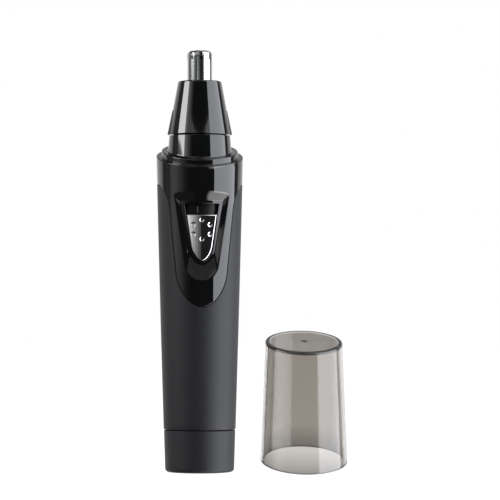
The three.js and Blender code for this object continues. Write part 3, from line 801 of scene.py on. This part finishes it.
def outer_cutter():
    rows = cutter_rows()
    per_slot = LAND_STEPS + 2
    slot_from = 3
    slot_to = next(i for i, row in enumerate(rows) if row[0][0] <= SLOT_INNER_RADIUS)
    in_slot = lambda i, j: slot_from <= i < slot_to and j % per_slot in (0, 1)
    outer, inner = (
        [[polar(row[part][0], a, row[part][1]) for a in cutter_angles(row[0][0])] for row in rows]
        for part in (0, 1)
    )
    shell = Shell().grid(outer, wrap=True, skip=in_slot).grid(inner, wrap=True, skip=in_slot)
    for k in range(TUBE_SLOTS):
        trio = [k * per_slot + n for n in (0, 1, 2)]
        for column in (trio[0], trio[-1]):
            span = range(slot_from, slot_to + 1)
            shell.grid([[wall[i][column] for i in span] for wall in (outer, inner)])
        for i in (slot_from, slot_to):
            shell.grid([[wall[i][n] for n in trio] for wall in (outer, inner)])
    inside = TUBE_RADIUS - TUBE_WALL
    flange = [(TUBE_RADIUS, TUBE_LOW), (FLANGE_RADIUS, TUBE_LOW), (FLANGE_RADIUS, FLANGE_LOW),
              (inside, FLANGE_LOW), (inside, TUBE_LOW)]
    angles = cutter_angles(TUBE_RADIUS)
    return shell.grid([[polar(r, a, z) for a in angles] for r, z in flange], wrap=True)


# ------------ protective cap

COVER_WALL = 1.3
COVER_TOP_PLATE = 0.7
COVER_X = (COVER_LOW.x + COVER_HIGH.x) / 2
COVER_MOUTH = 4.3  # height of its mouth and its top on its own axis
COVER_TOP = 45.05
COVER_MOUTH_RADIUS = 15.08
COVER_TAPER = 1.75 / 40.75  # radius lost per millimetre of height
COVER_Y = COVER_LOW.y + COVER_MOUTH_RADIUS / (1 - COVER_TAPER * SLANT)  # its front lip is widest


def cover_radius(height, inset=0.0):
    return COVER_MOUTH_RADIUS - inset - COVER_TAPER * (height - COVER_MOUTH)


def protective_cap():
    """Thin conical cup whose mouth and top are both cut on the collar's slant."""
    top, mouth, inner_top = COVER_TOP, COVER_MOUTH, COVER_TOP - COVER_TOP_PLATE
    levels = ((top, 0.6), (top - 12, 0), (mouth + 14, 0), (mouth, 0.35))
    outside = [(cover_radius(z), z, size) for z, size in levels]
    inside = [(cover_radius(z, COVER_WALL), z, size) for z, size in reversed(levels[1:])]
    inside.append((cover_radius(inner_top, COVER_WALL), inner_top, 0.6))
    gate = [(0, top - 0.35), (1.0, top - 0.35, 0.15), (1.25, top, 0.15)]
    profile = fillet([
        *gate, (6, top), *outside, *inside, (6, inner_top), (0, inner_top),
    ], 6)
    rows = []
    for r, z in profile:
        row = []
        for a in circle(160):
            rise = -SLANT * r * math.cos(a)
            near = r - COVER_TAPER * rise if r > 2 else r
            row.append(polar(near, a, z + rise))
        rows.append(row)
    return Shell().grid(rows, wrap=True).moved(COVER_X, COVER_Y)


# ------------ pieces inside that poses uncover


def battery_cell():
    low, high = box_mm("battery_cell")
    can = high.z - 1.5
    return turned(fillet([
        (0, low.z + 0.25), (5.2, low.z + 0.25, 0.2), (5.6, low.z, 0.15), (7.25, low.z, 0.7),
        (7.25, low.z + 4), (7.25, can - 4), (7.25, can, 0.9), (3.4, can, 0.3), (2.75, can + 0.3, 0.2),
        (2.75, high.z, 0.4), (0, high.z),
    ]), 96)


def cutter_stem():
    """Round shaft with a collar, on a square foot that the coupling turns."""
    low, high = box_mm("cutter_stem")
    shaft = turned(fillet([
        (0, low.z + 5), (1.9, low.z + 5, 0.25), (1.9, 125.6, 0.3), (3.5, 125.6, 0.2),
        (3.5, 126.6, 0.2), (2.6, 126.6, 0.2), (2.6, high.z, 0.3), (0, high.z),
    ]), 64)
    half, corner = 1.5, 0.25
    square = []
    for k in range(4):
        centre_x = (half - corner) * (1 if k in (0, 3) else -1)
        centre_y = (half - corner) * (1 if k in (0, 1) else -1)
        for step in range(5):
            angle = k * math.pi / 2 + step / 4 * math.pi / 2
            square.append((centre_x + corner * math.cos(angle), centre_y + corner * math.sin(angle)))
    levels = ((0, 0), (0.8, 0), (0.95, 0.15), (1, 0.5), (1, 5.2), (0, 5.2))
    rows = [[(x * scale, y * scale, low.z + rise) for x, y in square] for scale, rise in levels]
    return shaft.add(Shell().grid(rows, wrap=True))


def o_ring(node, radius, thickness):
    low, high = box_mm(node)
    middle = (low.z + high.z) / 2
    section = [(radius + thickness * math.cos(a), middle + thickness * math.sin(a))
               for a in circle(20)]
    return turned(section, 128, closed=True)


def spring(node, radius, wire, turns):
    low, high = box_mm(node)
    return tube(coil(radius, low.z + wire, high.z - wire, turns), wire)


def bush(node, bore, outside, rounds, sides):
    """Plain bush; its edges are rounded from the bore's foot round to the bore's top."""
    low, high = box_mm(node)
    corners = [(bore, low.z), (outside, low.z), (outside, high.z), (bore, high.z)]
    profile = [(*corner, size) for corner, size in zip(corners, rounds)]
    return turned(fillet(profile, closed=True), sides, closed=True)


def spring_plate():
    low, high = box_mm("spring_plate")
    dip = high.z - 0.12
    return turned(fillet([
        (0, low.z), (7.9, low.z, 0.1), (7.9, high.z, 0.15), (6.4, high.z, 0.1), (6.2, dip, 0.1),
        (5.2, dip, 0.1), (5, high.z, 0.1), (0, high.z),
    ]), 96)


# ------------ materials


class Nodes:
    """A shader node tree, with short calls for what goes into it."""

    def __init__(self, tree, coordinates):
        self.tree = tree
        self.coordinates = self.node("TexCoord", coordinates)

    def node(self, kind, output, inputs=None, **settings):
        """Output of a new node; each input is a fixed value or another node's output."""
        made = self.tree.nodes.new("ShaderNode" + kind)
        for key, value in settings.items():
            setattr(made, key, value)
        for key, value in (inputs or {}).items():
            if isinstance(value, bpy.types.NodeSocket):
                self.tree.links.new(value, made.inputs[key])
            else:
                made.inputs[key].default_value = value
        return made.outputs[output]

    def remap(self, source, low, high, from_low=0.0, from_high=1.0, **settings):
        return self.node("MapRange", "Result", {
            "Value": source, "From Min": from_low, "From Max": from_high, "To Min": low,
            "To Max": high,
        }, **settings)

    def combine(self, operation, first, second):
        return self.node("Math", "Value", {0: first, 1: second}, operation=operation)

    def blend(self, factor, first, second):
        """Mixes two colours, each of them fixed or another node's output."""
        colours = {key: (*colour, 1) if isinstance(colour, tuple) else colour
                   for key, colour in (("A", first), ("B", second))}
        return self.node("Mix", "Result", {"Factor": factor, **colours}, data_type="RGBA")

    def ramp(self, source, stops, interpolation="LINEAR"):
        """Colours along a value; each stop is a place and a colour."""
        made = self.tree.nodes.new("ShaderNodeValToRGB")
        made.color_ramp.interpolation = interpolation
        elements = made.color_ramp.elements
        while len(elements) < len(stops):
            elements.new(0.5)
        for element, (place, colour) in zip(elements, stops):
            element.position = place
            element.color = (*colour, 1)
        self.tree.links.new(source, made.inputs["Fac"])
        return made.outputs["Color"]


class Look(Nodes):
    """A node material on Principled BSDF."""

    def __init__(self, name, **sockets):
        self.name = name
        self.material = bpy.data.materials.new(name)
        self.material.use_nodes = True
        super().__init__(self.material.node_tree, "Object")
        self.shader = self.tree.nodes["Principled BSDF"]
        for key, value in sockets.items():
            self.shader.inputs[key.replace("_", " ")].default_value = value

    def noise(self, scale, detail=3.0, roughness=0.55, stretch=(1, 1, 1)):
        place = self.node("Mapping", "Vector", {"Vector": self.coordinates, "Scale": stretch})
        return self.node("TexNoise", "Fac", {
            "Vector": place, "Scale": scale, "Detail": detail, "Roughness": roughness,
        })

    def colour(self, source):
        self.tree.links.new(source, self.shader.inputs["Base Color"])

    def finish(self, rough, relief, depth_mm, strength):
        """Links roughness and fine relief, and returns the look."""
        normal = self.node("Bump", "Normal", {
            "Height": relief, "Distance": depth_mm * MM, "Strength": strength,
        })
        self.tree.links.new(rough, self.shader.inputs["Roughness"])
        self.tree.links.new(normal, self.shader.inputs["Normal"])
        return self


def soft_touch():
    look = Look("soft_touch_black", Specular_IOR_Level=0.32)
    cloud, grain = look.noise(90, 4), look.noise(9000, 2)
    look.colour(look.blend(cloud, (0.0052, 0.0055, 0.0074), (0.0064, 0.0067, 0.0086)))
    uneven = look.remap(grain, -0.05, 0.05)
    rough = look.combine("ADD", uneven, look.remap(cloud, 0.52, 0.60))
    return look.finish(rough, grain, 0.006, 0.5)


def gloss_black():
    look = Look("gloss_black", IOR=1.5)
    cloud, dust = look.noise(60), look.noise(5200, 2)
    look.colour(look.blend(cloud, (0.0024, 0.0026, 0.0026), (0.0031, 0.0033, 0.0033)))
    specks = look.remap(dust, 0.0, 0.05, 0.62, 0.9)
    rough = look.combine("ADD", look.remap(cloud, 0.025, 0.055), specks)
    return look.finish(rough, look.noise(220, 2), 0.0012, 0.25)


def ground_steel(name, dark, light):
    look = Look(name, Metallic=1.0)
    lines = look.noise(900, 4, 0.6, (0.25, 0.25, 7.0))
    look.colour(look.blend(look.noise(250), dark, light))
    return look.finish(look.remap(lines, 0.10, 0.16), lines, 0.0003, 0.1)


def zinc_plate():
    look = Look("zinc_plate", Metallic=1.0)
    crystals = look.node("TexVoronoi", "Distance", {"Vector": look.coordinates, "Scale": 900})
    look.colour(look.blend(crystals, (0.42, 0.43, 0.45), (0.60, 0.61, 0.62)))
    return look.finish(look.remap(crystals, 0.25, 0.42), crystals, 0.002, 0.3)


def metal(name, dark, light, cloud, rough, grain, depth, strength):
    """Plain metal: cloud and grain are a noise's scale and detail."""
    look = Look(name, Metallic=1.0)
    patches = look.noise(*cloud)
    look.colour(look.blend(patches, dark, light))
    return look.finish(look.remap(patches, *rough), look.noise(*grain), depth, strength)


def contact_metal(name, dark, light):
    return metal(name, dark, light, (500, 5), (0.22, 0.42), (3000, 2), 0.001, 0.3)


def moulded(name, dark, light, rough_low, rough_high, depth=0.002, **sockets):
    look = Look(name, **sockets)
    grain = look.noise(4200, 2)
    look.colour(look.blend(look.noise(160, 4), dark, light))
    return look.finish(look.remap(grain, rough_low, rough_high), grain, depth, 0.4)


def cell_sleeve():
    """Printed sleeve in two plain bands, with bare steel at its ends."""
    look = Look("cell_can", Metallic=0.6)
    low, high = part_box("battery_cell")
    steel, blue, copper = (0.55, 0.55, 0.56), (0.02, 0.07, 0.16), (0.50, 0.32, 0.12)
    stops = [(0.0, steel), (0.03, blue), (0.62, copper), (0.95, steel)]
    height = look.node("SeparateXYZ", "Z", {"Vector": look.coordinates})
    look.colour(look.ramp(look.remap(height, 0, 1, low.z, high.z), stops, "CONSTANT"))
    return look.finish(look.remap(look.noise(1200), 0.25, 0.4), look.noise(2500, 2), 0.001, 0.3)


def smoke_clear():
    """Smoke-tinted plastic, lighter in the top plate and darker at the gate mark, with painted shade
    on the wall above the mouth, along the mouth's edge and round the top's rim.
    """
    look = Look("smoke_clear", IOR=1.12, Transmission_Weight=1.0, Coat_Weight=1.0, Coat_IOR=1.5,
                Coat_Roughness=0.14)
    height = look.node("VectorMath", "Value", {0: look.coordinates, 1: (0, -SLANT, 1)},
                       operation="DOT_PRODUCT")
    aside = look.node("VectorMath", "Vector", {
        0: look.coordinates, 1: (1, 1, 0), 2: (-COVER_X * MM, -COVER_Y * MM, 0),
    }, operation="MULTIPLY_ADD")
    radius = look.node("VectorMath", "Value", {0: aside}, operation="LENGTH")
    level = -SLANT * COVER_Y  # what the slant adds to a height on the cap's own axis
    top, low, edge = level + COVER_TOP, level + COVER_MOUTH, cover_radius(COVER_TOP)

    def rising(source, start, end):
        return look.remap(source, 0, 1, start * MM, end * MM)

    def falling(source, start, end):
        return look.remap(source, 1, 0, start * MM, end * MM)

    def both(first, second):
        return look.combine("MULTIPLY", first, second)

    # Painted shade: the wall is darkened over the 8 mm above the mouth, in place of the shadow the
    # cap would throw on the floor seen through it.
    mouth = falling(height, low, low + 8)
    plate = both(rising(height, top - 0.9, top - 0.8), falling(radius, edge - 1.5, edge - 1.3))
    # Painted shade: a near-black ring round the edge of the top plate stands in for the dark edge
    # that refraction gives there.
    rim = both(rising(height, top - 0.9, top - 0.7), rising(radius, edge - 1.5, edge - 1.3))
    gate = both(rising(height, top - 0.6, top - 0.5), falling(radius, 1.3, 1.5))
    # Painted shade: a thin dark band along the edge of the mouth.
    painted_lip_shade = falling(height, low + 0.25, low + 0.45)
    colour = look.blend(look.noise(35, 2), (0.595, 0.57, 0.535), (0.615, 0.59, 0.555))
    # The tints for the mouth, the rim and the lip band are painted shade; the plate's and the gate's
    # are tone by place.
    for place, tint in ((mouth, (0.33, 0.32, 0.30)), (plate, (0.78, 0.76, 0.74)),
                        (rim, (0.01, 0.01, 0.01)), (gate, (0.12, 0.12, 0.12)),
                        (painted_lip_shade, (0.25, 0.24, 0.23))):
        colour = look.blend(place, colour, tint)
    look.colour(colour)
    smoke = look.node("VolumeAbsorption", "Volume", {"Color": (0.1, 0.06, 0.03, 1), "Density": 90})
    look.tree.links.new(smoke, look.tree.nodes["Material Output"].inputs["Volume"])
    return look.finish(look.remap(look.noise(700), 0.01, 0.035), look.noise(110, 2), 0.002, 0.2)


LOOKS = {look.name: look.material for look in (
    soft_touch(),
    gloss_black(),
    metal("chrome", (0.66, 0.66, 0.665), (0.74, 0.74, 0.745), (300, 3), (0.05, 0.10), (1400, 2),
          0.0006, 0.2),
    ground_steel("cutter_steel", (0.30, 0.305, 0.31), (0.36, 0.365, 0.37)),
    ground_steel("turned_steel", (0.40, 0.41, 0.42), (0.50, 0.51, 0.52)),
    ground_steel("spring_steel", (0.38, 0.39, 0.40), (0.52, 0.53, 0.54)),
    ground_steel("blade_steel", (0.10, 0.10, 0.105), (0.14, 0.14, 0.145)),
    zinc_plate(),
    contact_metal("contact_brass", (0.50, 0.34, 0.12), (0.66, 0.47, 0.20)),
    contact_metal("copper", (0.46, 0.20, 0.09), (0.60, 0.29, 0.14)),
    moulded("ferrite", (0.035, 0.035, 0.037), (0.055, 0.055, 0.058), 0.55, 0.8),
    cell_sleeve(),
    moulded("frame_plastic", (0.56, 0.55, 0.50), (0.64, 0.63, 0.58), 0.4, 0.6),
    moulded("white_acetal", (0.72, 0.71, 0.66), (0.80, 0.79, 0.74), 0.28, 0.42),
    moulded("seal_rubber", (0.010, 0.010, 0.011), (0.016, 0.016, 0.017), 0.6, 0.85, 0.006),
    moulded("red_wire", (0.34, 0.016, 0.012), (0.42, 0.024, 0.018), 0.4, 0.55),
    moulded("black_wire", (0.008, 0.008, 0.008), (0.013, 0.013, 0.013), 0.4, 0.55),
    moulded("satin_black", (0.0018, 0.0018, 0.002), (0.0025, 0.0025, 0.0028), 0.3, 0.4,
            Specular_IOR_Level=0.2),
    moulded("mark_ink", (0.05, 0.05, 0.055), (0.07, 0.07, 0.075), 0.4, 0.5),
    smoke_clear(),
)}

# ------------ putting the pieces on the frame

BODY_OF = {node: body for body, nodes in frame["record"]["behaviour"]["bodies"].items()
           for node in nodes}
SLOT_OF = {row["node"]: row["material_slot"] for row in frame["record"]["subparts"]}
# Two pieces look darker than the rest of their slot.
NODE_LOOKS = {"inner_cutter": "blade_steel", "switch_track": "satin_black"}

SHAPES = {shape.__name__: shape for shape in (
    handle_shell, battery_cap, upper_housing, slide_button, switch_track, nose_cone,
    outer_cutter, protective_cap, battery_cell, cutter_stem,
)}
SHAPES |= {
    "battery_spring": lambda: spring("battery_spring", 4.2, 0.35, 3.5),
    "cutter_spring": lambda: spring("cutter_spring", 2.75, 0.25, 7),
    "spring_plate": spring_plate,
    "head_socket": lambda: bush("head_socket", 8.2, 9.1, (0.2, 0.2, 0.15, 0.3), 128),
    "stem_bearing": lambda: bush("stem_bearing", 2.25, 5.3, (0.3, 0.2, 0.2, 0.3), 96),
    "head_seal": lambda: o_ring("head_seal", 7.45, 0.45),
    "battery_cap_seal": lambda: o_ring("battery_cap_seal", 10.1, 0.3),
}


def material_of(node):
    return LOOKS[NODE_LOOKS.get(node, SLOT_OF[node])]


for node, shape in SHAPES.items():
    piece = shape().object("fine_" + node)
    piece.data.materials.append(material_of(node))
    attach(piece, BODY_OF[node])
    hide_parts(node)

for node, part in frame["nodes"].items():
    if node not in SHAPES:
        part.data.materials.clear()
        part.data.materials.append(material_of(node))

# The clear cap stands beside the trimmer without dimming the light that reaches it.
clear_cap = bpy.data.objects["fine_protective_cap"]
clear_cap.visible_shadow = clear_cap.visible_diffuse = clear_cap.visible_glossy = False

for name, side in (("fine_grip_left", -1), ("fine_grip_right", 1)):
    pad = grip_pad(side).object(name)
    pad.data.materials.append(LOOKS["soft_touch_black"])
    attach(pad, "head")

mark = switch_mark().object("fine_switch_mark")
mark.data.materials.append(LOOKS["mark_ink"])
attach(mark, "handle")

# ------------ floor, light and camera

CAMERA_DISTANCE = 0.936
CAMERA_HEIGHT = 0.0565
CAMERA_AZIMUTH = math.radians(-4.4)
VIEW_CENTRE_ASIDE = 0.0174
VIEW_CENTRE_HEIGHT = 0.0766
VIEW_WIDTH = 0.1730


def floor():
    front, back, side = -350, 3000, 1600
    rows = [[(x, y, 0) for x in spread(-side, side, 9)] for y in spread(front, back, 9)]
    ground = Shell().grid(rows).object("floor")
    ground.location.z = -0.0002
    look = Look("floor_paper", Roughness=0.9, Emission_Color=(1, 1, 1, 1), Emission_Strength=0.98)
    look.colour(look.blend(look.noise(300), (0.09, 0.09, 0.09), (0.10, 0.10, 0.10)))
    ground.data.materials.append(look.material)
    ground.visible_glossy = False


def light_panel(name, left, right, away, low, high, radiance, tint=(1, 1, 1)):
    """Upright light between two azimuths, which count in degrees from the front towards +X."""
    middle = math.radians((left + right) / 2)
    width = 2 * away * math.tan(math.radians(right - left) / 2)
    data = bpy.data.lights.new(name, "AREA")
    data.shape = "RECTANGLE"
    data.size, data.size_y = width, high - low
    data.energy = radiance * math.pi * width * (high - low)
    data.color = tint
    light = bpy.data.objects.new(name, data)
    bpy.context.scene.collection.objects.link(light)
    outward = Vector(polar(1, middle, 0))
    light.location = outward * away + Vector((0, 0, (low + high) / 2))
    light.rotation_mode = "QUATERNION"
    light.rotation_quaternion = outward.to_track_quat("Z", "Y")
    light.visible_camera = light.visible_transmission = False


# Brightness of the room in four bands from the ground up, as azimuths and levels.
ROOM_REAR = [(104, 0.015), (106, 0.15), (118, 0.15), (126, 1.1), (180, 1.1), (-126, 1.1),
             (-118, 0.15), (-102, 0.3)]
ROOM_BELOW = [(-126, 1.0), (-116, 0.1), (-30, 0.1), (-15, 0.02), (20, 0.02), (32, 4.5), (104, 4.5),
              (110, 0.2), (126, 1.0), (180, 1.0)]
ROOM_LEVEL = ROOM_REAR + [(-90, 0.75), (-76, 1.0), (-64, 0.7), (-44, 0.15), (-30, 0.015)]
ROOM_RAISED = ROOM_REAR + [(-90, 1.0), (-62, 3.0), (-50, 1.2), (-36, 0.1), (-30, 0.015)]
ROOM_ABOVE = [(-60, 0.4), (-34, 1.0), (0, 0.1), (18, 0.3), (30, 1.8), (110, 1.8), (130, 0.15),
              (180, 0.15)]


def surroundings():
    """White behind, dim in front, lit at both sides; the camera sees white, through the cap too."""
    world = bpy.data.worlds.new("studio")
    bpy.context.scene.world = world
    world.use_nodes = True
    sky = Nodes(world.node_tree, "Generated")
    around = sky.node("TexGradient", "Fac", {"Vector": sky.coordinates}, gradient_type="RADIAL")
    upward = sky.node("SeparateXYZ", "Z", {"Vector": sky.coordinates})

    def band(stops):
        """One band of the room; the radial gradient counts from -X round through -Y."""
        places = sorted((((azimuth + 90) / 360) % 1.0, level) for azimuth, level in stops)
        return sky.ramp(around, [(place, (level,) * 3) for place, level in places])

    room = band(ROOM_BELOW)
    for start, end, stops in ((-20, -10, ROOM_LEVEL), (7, 11, ROOM_RAISED), (26.5, 29, ROOM_ABOVE)):
        low, high = math.sin(math.radians(start)), math.sin(math.radians(end))
        rise = sky.remap(upward, 0, 1, low, high, interpolation_type="SMOOTHSTEP")
        room = sky.blend(rise, room, band(stops))
    for ray in ("Is Camera Ray", "Is Transmission Ray"):
        room = sky.blend(sky.node("LightPath", ray), room, (1.0, 1.0, 1.0))
    sky.tree.links.new(room, sky.tree.nodes["Background"].inputs["Color"])


def light_arc(name, away, low, high, edges, levels):
    """Row of panels round an arc; edges are their azimuths from left to right."""
    for i, level in enumerate(levels):
        light_panel(f"{name}_{i + 1}", edges[i], edges[i + 1], away, low, high, level)


def lights():
    light_panel("right_softbox", 36, 104, 0.75, -0.35, 0.85, 5.5, (0.91, 0.935, 1.0))
    light_panel("left_strip", -92, -62, 0.7, 0.235, 0.50, 11)
    light_arc("button_light", 0.45, 0.150, 0.184, range(-29, 2, 5),
              (1.25, 0.95, 0.65, 0.42, 0.25, 0.12))
    light_arc("ramp_light", 0.45, 0.216, 0.318, range(-45, 37, 9),
              (0.6, 1.2, 1.0, 0.7, 0.4, 0.35, 0.7, 1.9, 1.9))


def camera():
    data = bpy.data.cameras.new("camera")
    data.lens = data.sensor_width * CAMERA_DISTANCE / VIEW_WIDTH
    data.clip_start, data.clip_end = 0.01, 20
    eye = bpy.data.objects.new("camera", data)
    bpy.context.scene.collection.objects.link(eye)
    front = Vector(polar(1, CAMERA_AZIMUTH, 0))
    right = Vector((-front.y, front.x, 0))
    centre = right * VIEW_CENTRE_ASIDE + Vector((0, 0, VIEW_CENTRE_HEIGHT))
    eye.location = right * VIEW_CENTRE_ASIDE + front * CAMERA_DISTANCE
    eye.location.z = CAMERA_HEIGHT
    eye.rotation_mode = "QUATERNION"
    eye.rotation_quaternion = (centre - eye.location).to_track_quat("-Z", "Y")
    bpy.context.scene.camera = eye


floor()
surroundings()
lights()
camera()
bpy.context.scene.view_settings.view_transform = "Standard"
